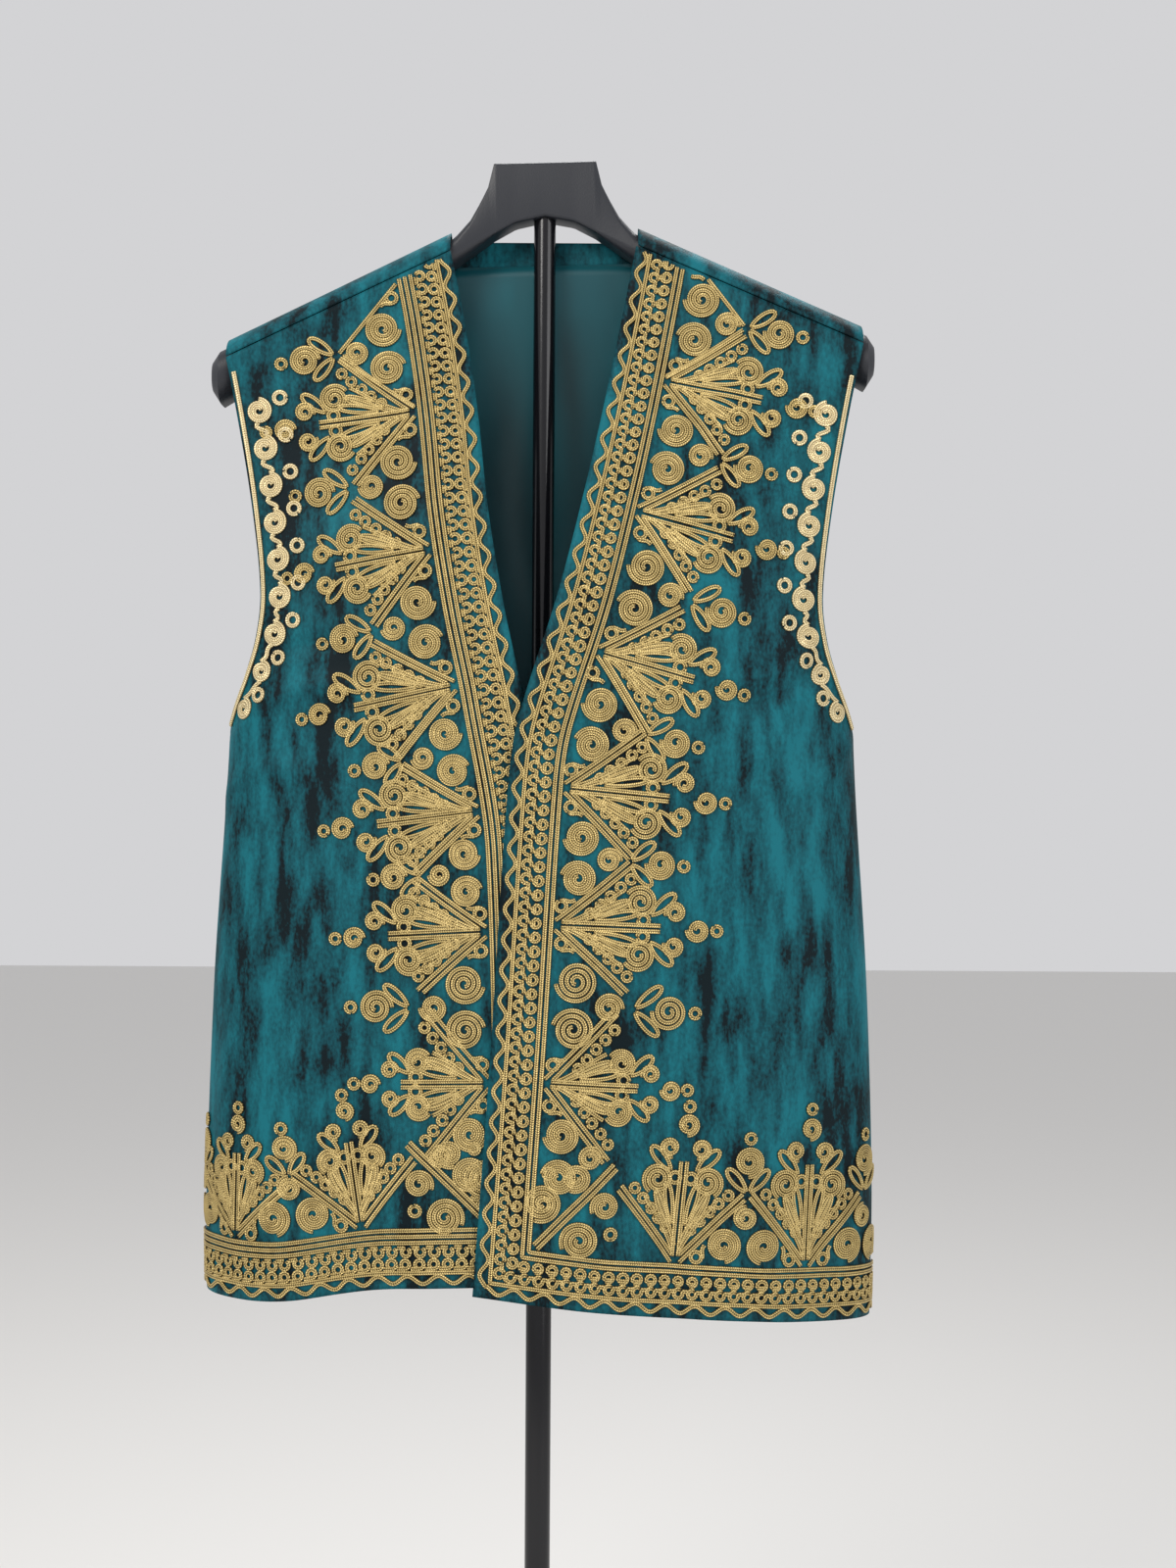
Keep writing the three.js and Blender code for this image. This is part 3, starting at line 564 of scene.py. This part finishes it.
def build_back():
    points, normals, present, (s, _) = back_grid()
    back = shell("Back", points, normals, 0, -BACK_WALL, [VELVET, VELVET], present)
    every_other = (slice(0, len(s), 2), slice(None, None, 2))
    inner, inner_normals = points[every_other].copy(), normals[every_other]
    hem_z = inner[0, :, 2] + LINING_SHORT
    above_hem = (inner[:, :, 2] > hem_z).all(axis=1)
    first = int(np.argmax(above_hem)) - 1
    inner[first] = BACK_PANEL.at(s[0, ::2], hem_z)[0]
    outer = -BACK_WALL - PIECE_GAP
    lining = shell("Back_lining", inner[first:], inner_normals[first:], outer,
                   outer - LINING_WALL, [SATIN, SATIN])
    return back, lining


# ---------------------------------------------------------------- braid strokes

# Figures are drawn on their own axes: out from the band, and across. A stroke is a row of points.

def arc(centre, radius, start, end):
    steps = max(int(abs(end - start) / 10), 6)
    angle = np.radians(np.linspace(start, end, steps))
    return np.stack([centre[0] + radius * np.cos(angle), centre[1] + radius * np.sin(angle)], -1)


def ring(centre, radius):
    start = rng.uniform(0, 360)
    return arc(centre, radius, start, start + 350)


def spiral(centre, radius, turns, start, hand=1):
    """From the outside in; radius is to the braid's outer side."""
    angle = np.radians(start + hand * np.linspace(0, 360 * turns, int(36 * turns)))
    r = np.linspace(radius - BRAID_WIDTH / 2, 1.9, len(angle))
    return np.stack([centre[0] + r * np.cos(angle), centre[1] + r * np.sin(angle)], -1)


def curve(a, b, c, d, steps=24):
    """Bezier curve."""
    a, b, c, d = (np.asarray(p, float) for p in (a, b, c, d))
    t = np.linspace(0, 1, steps)[:, None]
    return a * (1 - t) ** 3 + 3 * b * t * (1 - t) ** 2 + 3 * c * t * t * (1 - t) + d * t ** 3


def leaf(root, angle, length, width):
    """A loop of braid with a narrow root and a rounded end."""
    t = np.linspace(0, 2 * np.pi, 40)
    out = length / 2 * (1 - np.cos(t))
    side = width / 2 * np.sin(t) * np.sqrt(np.sin(t / 2) + 0.05)
    cos, sin = math.cos(math.radians(angle)), math.sin(math.radians(angle))
    return np.stack([root[0] + out * cos - side * sin, root[1] + out * sin + side * cos], -1)


def mirrored(strokes):
    return strokes + [stroke * [1, -1] for stroke in strokes]


FULL_PALMETTE, FULL_PITCH = 107, 92  # the length and the pitch at which the figures' sizes hold
HALF_HEM_PITCH = 44


def palmette(length, half_pitch):
    """Frame, lyre with volutes, stem, leaves, and a trefoil at the tip."""
    k = length / FULL_PALMETTE
    fork = np.array([46 * k, half_pitch - 1.5])
    side = [
        curve((1, 3), fork * 0.35, fork * 0.7, fork),
        curve((6, 2.5), fork * 0.38 + [4, -1], fork * 0.72 + [4, -1], fork + [3.5, -2]),
        curve((8, 1.8), (22 * k, 7), (33 * k, 17), (44 * k, 24 * k)),
        curve((12, 1.8), (26 * k, 6), (36 * k, 13), (47 * k, 17 * k)),
        spiral((55 * k, 17 * k), 11.5 * k, 2.5, 150, -1),
        curve((5, 1.9), (25 * k, 1.9), (45 * k, 1.9), (68 * k, 1.9)),
        leaf((26 * k, 4.5), 12, 28 * k, 5.5),
        leaf((24 * k, 7), 23, 26 * k, 5.5),
        ring((57 * k, 5.6 * k), 3.6),
        leaf((62 * k, 9 * k), 43, 20 * k, 7.5),
        spiral((77 * k, 10.5 * k), 8 * k, 1.9, 200, -1),
    ]
    for i in range(5):
        place = fork * (0.3 + 0.135 * i) + np.array([9.5, -4.5])
        side.append(ring(place, 2.9))
    return mirrored(side) + [spiral((92 * k, 0), 8.6 * k, 2, 180), ring((104.5 * k, 0), 3.2)]


def cell(half_pitch, k=1.0):
    """What fills the triangle between the band and two frames; its middle is the fork's line."""
    side = [
        spiral((15.2 * k, 14.3 * k), 13.4 * k, 3.2, 190),
        ring((5.5, half_pitch - 12), 3.6),
        curve((5, half_pitch - 16), (9, half_pitch - 17),
              (10, half_pitch - 14), (14, half_pitch - 17)),
    ]
    return mirrored(side) + [spiral((35 * k, 0), 9.6 * k, 2.4, 0)]


def bud(k=1.0):
    side = [leaf((51 * k, 1.5), 42, 19 * k, 7)]
    return mirrored(side) + [spiral((70.5 * k, 0), 11.6 * k, 2.7, 180), ring((86.5 * k, 0), 3.3)]


def lean_of(rows, place, reach):
    """Slope of an edge, as an angle, over this reach to both sides."""
    return math.atan((read(rows, place + reach) - read(rows, place - reach)) / (2 * reach))


def band_frame(name, z):
    """Where a figure stands on the front edge's band, and the direction of its axis."""
    front = FRONTS[name]
    hand, lean = front["hand"], lean_of(front["edge"], z, 50)
    s = float(read(front["edge"], z)) + hand * BAND_WIDTH[name] / math.cos(lean)
    return np.array([s, z]), np.array([hand * math.cos(lean), -hand * math.sin(lean)])


def hem_frame(name, s):
    front = FRONTS[name]
    lean = lean_of(front["hem"], s, 30)
    z = float(read(front["hem"], s)) + BAND_WIDTH[name]
    return np.array([s, z]), np.array([-math.sin(lean), math.cos(lean)])


def placed(strokes, origin_axis):
    """Strokes from a figure's axes to (s, z), each figure a little uneven as sewn by hand."""
    origin, axis = origin_axis
    across = np.array([-axis[1], axis[0]])
    turn = math.radians(rng.uniform(-1.2, 1.2))
    size = rng.uniform(0.985, 1.015)
    cos, sin = math.cos(turn), math.sin(turn)
    spin = np.array([[cos, -sin], [sin, cos]]) * size
    out = []
    for stroke in strokes:
        local = stroke @ spin.T + [rng.uniform(-0.35, 0.35), rng.uniform(-0.35, 0.35)]
        out.append(origin + local[:, :1] * axis + local[:, 1:] * across)
    return out


CORNER_Z = 545
HEM_END = 262  # past the side seams, where strokes are cut


def band_path(name, inset, top=1256):
    """A line along the front edge and the hem, this far inside the cloth's edge."""
    front = FRONTS[name]
    hand, edge, hem = front["hand"], front["edge"], front["hem"]
    corner = float(read(edge, CORNER_Z))
    foot = float(read(hem, corner + hand * inset)) + inset
    z = np.arange(top, foot, -4.0)
    slope = (read(edge, z + 10) - read(edge, z - 10)) / 20
    down = np.stack([read(edge, z) + hand * inset * np.sqrt(1 + slope ** 2), z], -1)
    s = hand * np.arange(hand * down[-1, 0], HEM_END, 4.0)
    along = np.stack([s, read(hem, s) + inset], -1)
    return np.concatenate([down, along])


def resample(path, step):
    """The path at even steps, with the length up to each."""
    size = np.concatenate([[0], np.cumsum(np.linalg.norm(np.diff(path, axis=0), axis=1))])
    count = max(int(size[-1] / step), 3)
    at = np.linspace(0, size[-1], count + 1)
    return np.stack([np.interp(at, size, path[:, 0]), np.interp(at, size, path[:, 1])], -1), at


def band_strokes(name):
    """Looped border: a wave, a line, two rows of loops, and parallel lines inside them."""
    hand = FRONTS[name]["hand"]
    wave_inset, wave_height, wave_length = 6.2, 2.6, 20
    base, at = resample(band_path(name, wave_inset), 1.2)
    tangent = np.gradient(base, axis=0)
    tangent /= np.linalg.norm(tangent, axis=1, keepdims=True)
    inward = np.stack([-tangent[:, 1], tangent[:, 0]], -1) * hand
    wave = wave_height * np.sin(at * 2 * np.pi / wave_length)
    strokes = [base + inward * wave[:, None], band_path(name, 10.8)]
    for row, inset in enumerate((16.4, 24.4)):
        path, _ = resample(band_path(name, inset), 9.2)
        for i, place in enumerate(path[1:-1]):
            across = path[i + 2] - path[i]
            heading = math.degrees(math.atan2(across[1], across[0])) + row * 180
            loop = arc(place, rng.uniform(2.7, 3.1), heading + 60, heading + 60 + hand * 330)
            tail = curve(*(loop[-1] + across * share for share in (0, 0.1, 0.22, 0.3)), 6)
            strokes.append(np.concatenate([loop, tail[1:]]))
    insets = (30.6, 34.6) if name == "left" else (30.6, 34.6, 38.6)
    return strokes + [band_path(name, inset) for inset in insets]


def armhole_strokes(name):
    """A line along the armhole, and a running scroll with a ring at each turn."""
    hand = FRONTS[name]["hand"]

    def inside(z, inset):
        return hand * (outer_edge(FRONT, hand, z) - inset)

    z = np.arange(932, 1172, 3.0)
    strokes = [np.stack([inside(z, 3.2), z], -1)]
    pitch, clear = 25, 5.5
    heights = np.arange(943, 1166, float(pitch))
    for i, height in enumerate(heights):
        radius = 8.4 if i < 2 else 9.6
        centre = np.array([float(inside(height, clear + radius)), height])
        strokes.append(spiral(centre, radius, 2.2, 90, hand))
        strokes.append(ring(centre - [hand * (radius + 4.6), -9], 4))
        if i + 1 < len(heights):
            above = np.array([float(inside(height + pitch, clear + radius)), height + pitch])
            reach = np.array([0, radius - 1.6])
            strokes.append(curve(centre + reach, centre + [-hand * 9, radius + 3],
                                 above + [hand * 8, -radius - 3], above - reach, 12))
    return strokes


def corner_strokes(name):
    """Diagonal figure in the lower corner, between the two bands."""
    front = FRONTS[name]
    hand, width = front["hand"], BAND_WIDTH[name]
    s = float(read(front["edge"], 600)) + hand * width
    foot = np.array([s, float(read(front["hem"], s)) + width])
    axis = np.array([hand, 1.0]) / math.sqrt(2)
    diagonal = mirrored([
        curve((3, 1.9), (25, 1.9), (50, 1.9), (76, 1.9)),
        spiral((26, 17.5), 13.6, 3.2, 200),
        spiral((53, 13.5), 10.4, 2.4, 200),
        ring((43, 28), 3.4),
    ])
    return placed(diagonal, (foot, axis))


def shoulder_strokes(name):
    """The topmost figure, of which the seam leaves the lower part."""
    first, second = PALMETTES[name][0][0], PALMETTES[name][1][0]
    half = (first - second) / 2
    arms = [curve((1, hand * (half - 3)), (16, hand * 30), (32, hand * 15), (46, hand * 1.5))
            for hand in (RIGHT, LEFT)]
    return placed(cell(half) + bud() + arms, band_frame(name, first + half))


def figure_strokes(name):
    """Palmettes up the front with the cells and buds between them."""
    rows, strokes = PALMETTES[name], []
    for i, (z, length) in enumerate(rows):
        above = rows[i - 1][0] if i else 2 * z - rows[i + 1][0]
        below = rows[i + 1][0] if i + 1 < len(rows) else 2 * z - above
        half = min(above - z, z - below) / 2
        strokes += placed(palmette(length, half), band_frame(name, z))
        if i:
            pitch = above - z
            k = pitch / FULL_PITCH
            between = band_frame(name, (above + z) / 2)
            strokes += placed(cell(pitch / 2, k) + bud(k), between)
    low_cell = band_frame(name, rows[-1][0] - 47)
    return strokes + placed(cell(HALF_HEM_PITCH, 0.95), low_cell)


def hem_strokes(name):
    length, strokes = HEM_PALMETTE_LENGTH[name], []
    for s in HEM_PALMETTES[name]:
        strokes += placed(palmette(length, HALF_HEM_PITCH), hem_frame(name, s))
    for s in HEM_BUDS[name]:
        figure = cell(HALF_HEM_PITCH, 0.96) + bud(length / FULL_PALMETTE)
        strokes += placed(figure, hem_frame(name, s))
    return strokes


# Across and up over the cloth, in half widths and heights: two cords with a groove between them.
BRAID_SECTION = np.array([
    (-1, 0), (-0.96, 0.5), (-0.52, 1), (0, 0.35), (0.52, 1), (0.96, 0.5), (1, 0),
])
BRAID_LIFT = 0.15


def on_cloth(name, stroke, margin):
    """The runs of a stroke that lie on the front, away from its outer edge and its shoulder seam."""
    front = FRONTS[name]
    s, z = stroke[:, 0], stroke[:, 1]
    x = cloth_points(FRONT, s, z)[:, 0]
    inside = outer_edge(FRONT, front["hand"], z) - front["hand"] * s > margin
    inside &= z < ridge_height(x) - SEAM_DROP - 3
    inside &= z > read(front["hem"], s) + 1
    runs = np.split(np.arange(len(stroke)), np.flatnonzero(np.diff(inside.astype(int))) + 1)
    return [stroke[run] for run in runs if inside[run[0]] and len(run) > 3]


def build_braid(title, name, strokes, made, width=BRAID_WIDTH, margin=3.0):
    """Sweeps the braid's section along every stroke, on the cloth of one front."""
    panel = FRONTS[name]["panel"]
    sideways, up = BRAID_SECTION.T
    vertices, faces, uvs, count = [], [], [], len(BRAID_SECTION)
    start = 0
    for stroke in strokes:
        fine, _ = resample(np.asarray(stroke), BRAID_STEP)
        for run in on_cloth(name, fine, margin):
            points, normals = panel.at(run[:, 0], run[:, 1])
            across = np.cross(normals, np.gradient(points, axis=0))
            across /= np.maximum(np.linalg.norm(across, axis=1, keepdims=True), 1e-6)
            lift = BRAID_LIFT + rng.uniform(0, 0.25)
            section = (points[:, None] + across[:, None] * (sideways * width / 2)[:, None]
                       + normals[:, None] * (lift + up * BRAID_HEIGHT)[:, None])
            vertices.append(section.reshape(-1, 3))
            steps = np.linalg.norm(np.diff(points, axis=0), axis=1)
            length = np.concatenate([[0], np.cumsum(steps)])
            u = np.repeat(length * 2 * np.pi / PLAIT_PITCH, count)
            uvs.append(np.stack([u, np.tile(sideways / 2 + 0.5, len(run))], -1))
            ids = start + np.arange(len(run) * count).reshape(len(run), count)
            faces += loft(ids)
            start += len(run) * count
    vertices, uvs = np.concatenate(vertices), np.concatenate(uvs)
    return add_mesh(title, vertices, faces, [made], uvs=uvs)


# ---------------------------------------------------------------- the stand

def lathe(name, profile, made, sides=64, rounding=0.6):
    """Turned piece whose profile corners are cut a little; corners on the axis stay."""
    corners = np.array(profile, float)
    rounded = []
    for i, corner in enumerate(corners):
        for end in (corners[i - 1], corners[(i + 1) % len(corners)]):
            run = end - corner
            size = np.linalg.norm(run)
            on_axis = corner[0] < 0.01
            rounded.append(corner if on_axis else corner + run / size * min(rounding, size / 3))
    radius, height = np.array(rounded).T[:, :, None]
    angle = np.linspace(0, 2 * np.pi, sides, endpoint=False)
    rings = np.stack([radius * np.cos(angle), radius * np.sin(angle), height + 0 * angle], -1)
    count = len(rounded)
    faces = []
    for i in range(count):
        lower, upper = i * sides, (i + 1) % count * sides
        for j in range(sides):
            k = (j + 1) % sides
            faces.append([lower + j, lower + k, upper + k, upper + j])
    built = add_mesh(name, rings.reshape(-1, 3), faces, [made])
    built.data.set_sharp_from_angle(angle=math.radians(35))
    return built


def attach(made, body, slot, *cad_nodes):
    """The piece moves with a body and stands for CAD nodes, which it hides; the slot is not used."""
    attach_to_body(made, body)
    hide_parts(*cad_nodes)


def tube_profile(inner, outer, bottom, top):
    return [(inner, bottom), (outer, bottom), (outer, top), (inner, top)]


HEAD_PLACES = [35, 37, 39, 41, 219, 221, 222.5, 224]  # where the head's outline turns
HEAD_CORNER_STEPS = 6


def head_ring(x):
    """The rounded rectangle across the hanger head."""
    table = np.array(HEAD_SECTIONS, float)
    columns = (np.interp(abs(x), table[:, 0], table[:, c]) for c in range(1, 6))
    top, bottom, half, forward, radius = columns
    radius = min(radius, (top - bottom) / 2 - 0.5, half - 0.5)
    ring = []
    for corner in range(4):
        y = (1 if corner in (0, 3) else -1) * (half - radius) - forward
        z = (top - radius if corner < 2 else bottom + radius) + HEAD_TILT * x
        for i in range(HEAD_CORNER_STEPS + 1):
            angle = math.pi / 2 * (corner + i / HEAD_CORNER_STEPS)
            ring.append((x, y + radius * math.cos(angle), z + radius * math.sin(angle)))
    return ring


def build_head():
    """The hanger head from its section table, both halves, with corners rounded finely."""
    places = np.round(np.concatenate([np.arange(0, 224, 3.0), HEAD_PLACES]), 1)
    half = np.unique(places)
    rings = np.array([head_ring(x) for x in np.concatenate([-half[:0:-1], half])])
    ids = np.arange(rings.shape[0] * rings.shape[1]).reshape(rings.shape[:2])
    head = add_mesh("Hanger_head", rings.reshape(-1, 3), loft(ids), [MATT_BLACK])
    head.data.set_sharp_from_angle(angle=math.radians(40))
    return head


# Profiles of the turned pieces: radius and height.
BASE_PROFILE = [(0, 0.4), (141, 0.4), (144.6, 2.6), (144.6, 6.4), (142.3, 8.8), (0, 8.8)]
SOCKET_PROFILE = [
    (9.2, 9.4), (33.8, 9.4), (33.8, 13.2), (31, 14.4), (18, 15.4),
    (15, 19.4), (14.6, 30), (13, 37.6), (9.2, 37.6),
]
COLLAR_PROFILE = [
    (9.1, 688), (12, 688), (14, 691), (14, 700), (13.2, 701), (13.2, 703),
    (14, 704), (14, 712), (10, 716), (8, 716), (8, 700.5), (9.1, 700.5),
]


def build_stand():
    """Each turned piece with the CAD node that it stands for, its body and its slot."""
    steel, moulding = "black_steel", "black_moulding"
    pieces = [
        ("Base_plate", "base_plate", BASE_PROFILE, steel),
        ("Base_socket", "base_socket", SOCKET_PROFILE, moulding),
        ("Lower_tube", "lower_tube", tube_profile(7.9, 8.75, 9.4, 700), steel),
        ("Lock_collar", "lock_collar", COLLAR_PROFILE, moulding),
        ("Upper_tube", "upper_tube", tube_profile(6.2, 7.5, 330, 1302), steel),
    ]
    for title, cad, profile, slot in pieces:
        made = lathe(title, profile, GLOSS_BLACK if slot == steel else MATT_BLACK)
        attach(made, "head" if cad == "upper_tube" else "stand", slot, cad)


# ---------------------------------------------------------------- assembly

def build_braids(name):
    """The braid pieces of one front: title, strokes, finish, options, CAD nodes stood for."""
    def numbered(kind, count):
        return [f"{kind}_{i}_{name}" for i in range(1, count + 1)]

    armhole = dict(width=ARMHOLE_BRAID_WIDTH, margin=1.8)
    plan = [
        ("Palmettes", figure_strokes, GOLD, dict(margin=6),
         numbered("palmette", 6) + numbered("bud", 5)),
        ("Edge_braid", band_strokes, GOLD, {}, [f"edge_braid_{name}"]),
        ("Hem_figures", hem_strokes, GOLD, {}, numbered("hem_palmette", 2) + numbered("hem_bud", 2)),
        ("Corner_figure", corner_strokes, GOLD, {}, [f"corner_braid_{name}"]),
        ("Shoulder_figure", shoulder_strokes, GOLD, dict(margin=24), [f"shoulder_braid_{name}"]),
        ("Armhole_braid", armhole_strokes, PALE_GOLD, armhole, [f"armhole_braid_{name}"]),
    ]
    built = []
    for title, strokes_of, finish, options, cad_nodes in plan:
        made = build_braid(f"{title}_{name}", name, strokes_of(name), finish, **options)
        attach(made, "head", "gold_braid", *cad_nodes)
        built.append(made)
    return built


def build_vest():
    fronts = {name: build_front(name) for name in FRONTS}
    back, lining = build_back()
    attach(fronts["left"], "head", "velvet", "front_left")
    attach(fronts["right"], "head", "velvet", "front_right")
    attach(back, "head", "velvet", "back")
    attach(lining, "head", "satin_lining", "lining_back")
    braids = {name: build_braids(name) for name in FRONTS}
    attach(build_head(), "head", "black_moulding", "hanger_head")


# ---------------------------------------------------------------- studio and camera

def area_light(name, place, target, size, power, color=(1, 1, 1)):
    light = bpy.data.lights.new(name, "AREA")
    light.shape, light.size, light.energy, light.color = "DISK", size, power, color
    made = bpy.data.objects.new(name, light)
    bpy.context.scene.collection.objects.link(made)
    made.location = place
    run = np.array(target) - np.array(place)
    tilt = math.acos(-run[2] / np.linalg.norm(run))
    made.rotation_euler = (tilt, 0, math.atan2(run[1], run[0]) - math.pi / 2)


def build_studio():
    floor, tree, shader = material("Pale_floor", (0.72, 0.71, 0.69), 0.75)
    bump(tree, shader, noise(tree, 40), 0.05, 0.001)
    reach = 9000
    corners = [(-reach, -reach, 0), (reach, -reach, 0), (reach, reach, 0), (-reach, reach, 0)]
    plane = add_mesh("Floor", corners, [(0, 1, 2, 3)], [floor])
    world = bpy.data.worlds.new("Studio")
    world.use_nodes = True
    background = world.node_tree.nodes["Background"]
    background.inputs["Color"].default_value = (0.93, 0.93, 0.95, 1)
    background.inputs["Strength"].default_value = 0.7
    bpy.context.scene.world = world
    middle = (0, 0, 0.95)
    area_light("Key", (-1.4, -2.2, 2.5), middle, 1.4, 55, (1, 0.97, 0.92))
    area_light("Fill", (2.0, -1.8, 1.4), middle, 1.8, 22)
    area_light("Top", (0.3, 0.9, 2.8), middle, 1.2, 30)


def build_camera():
    data = bpy.data.cameras.new("Camera")
    data.lens, data.sensor_width, data.sensor_fit = 49.85, 36, "AUTO"
    camera = bpy.data.objects.new("Camera", data)
    bpy.context.scene.collection.objects.link(camera)
    camera.location = (0.032, -1.5, 0.8935)
    roll = 0.0059
    camera.rotation_euler = (math.pi / 2, -roll, 0)
    bpy.context.scene.camera = camera


bpy.context.scene.view_settings.view_transform = "Standard"
build_stand()
build_vest()
build_studio()
build_camera()
